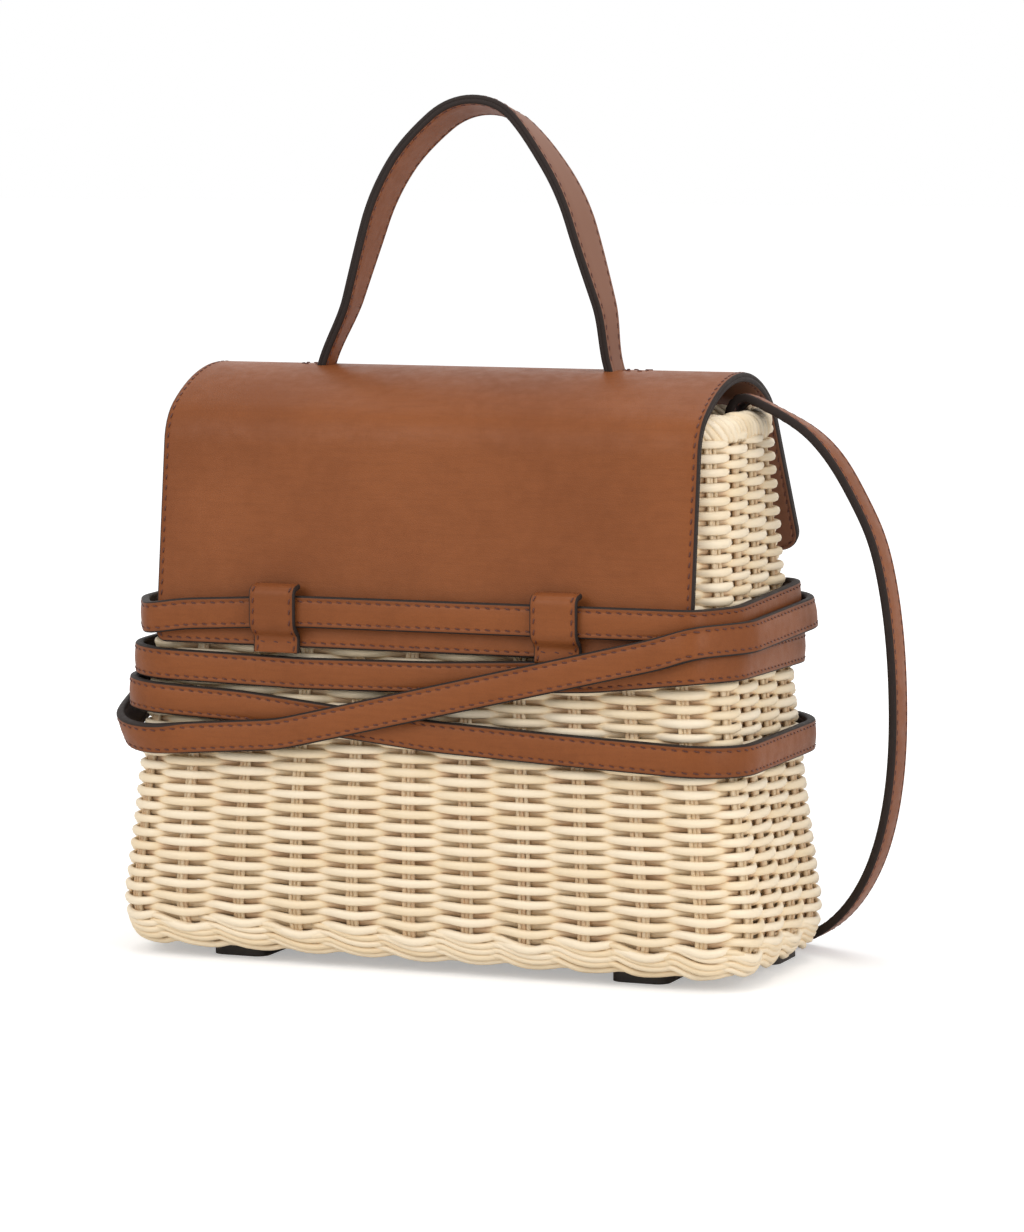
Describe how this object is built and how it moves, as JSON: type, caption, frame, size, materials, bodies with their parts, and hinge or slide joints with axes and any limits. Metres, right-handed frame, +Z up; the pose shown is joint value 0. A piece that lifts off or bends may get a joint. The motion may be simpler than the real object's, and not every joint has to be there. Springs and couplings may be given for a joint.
{
  "type": "tote bag",
  "caption": "Woven cane basket bag with a leather flap folded over its mouth, a short carrying handle, a long belt wound round the body and a shoulder strap.",
  "frame": {"origin": "on the floor under the middle of the basket", "axes": "+X to the right along the front, +Y to the back, +Z up; the front with the keepers faces -Y"},
  "size_m": [0.357, 0.1685, 0.3973],
  "materials": {
    "cane": "peeled cane, satin",
    "brown_leather": "smooth grained hide, waxed, with painted edges and stitching",
    "lining_leather": "smooth hide, matt",
    "foot_leather": "near-black, matt"
  },
  "bodies": {
    "root": {"basket_wall": "cane", "foot_border": "cane", "rim_border": "cane", "basket_bottom": "cane", "foot_front_left": "foot_leather", "foot_front_right": "foot_leather", "foot_back_left": "foot_leather", "foot_back_right": "foot_leather", "flap_outer": "brown_leather", "flap_lining": "lining_leather", "handle_outer": "brown_leather", "handle_lining": "lining_leather", "keeper_left": "brown_leather", "keeper_right": "brown_leather", "wrap_belt": "brown_leather", "shoulder_strap": "brown_leather", "flap_lace_left": "lining_leather", "flap_lace_right": "lining_leather"}
  },
  "joints": []
}
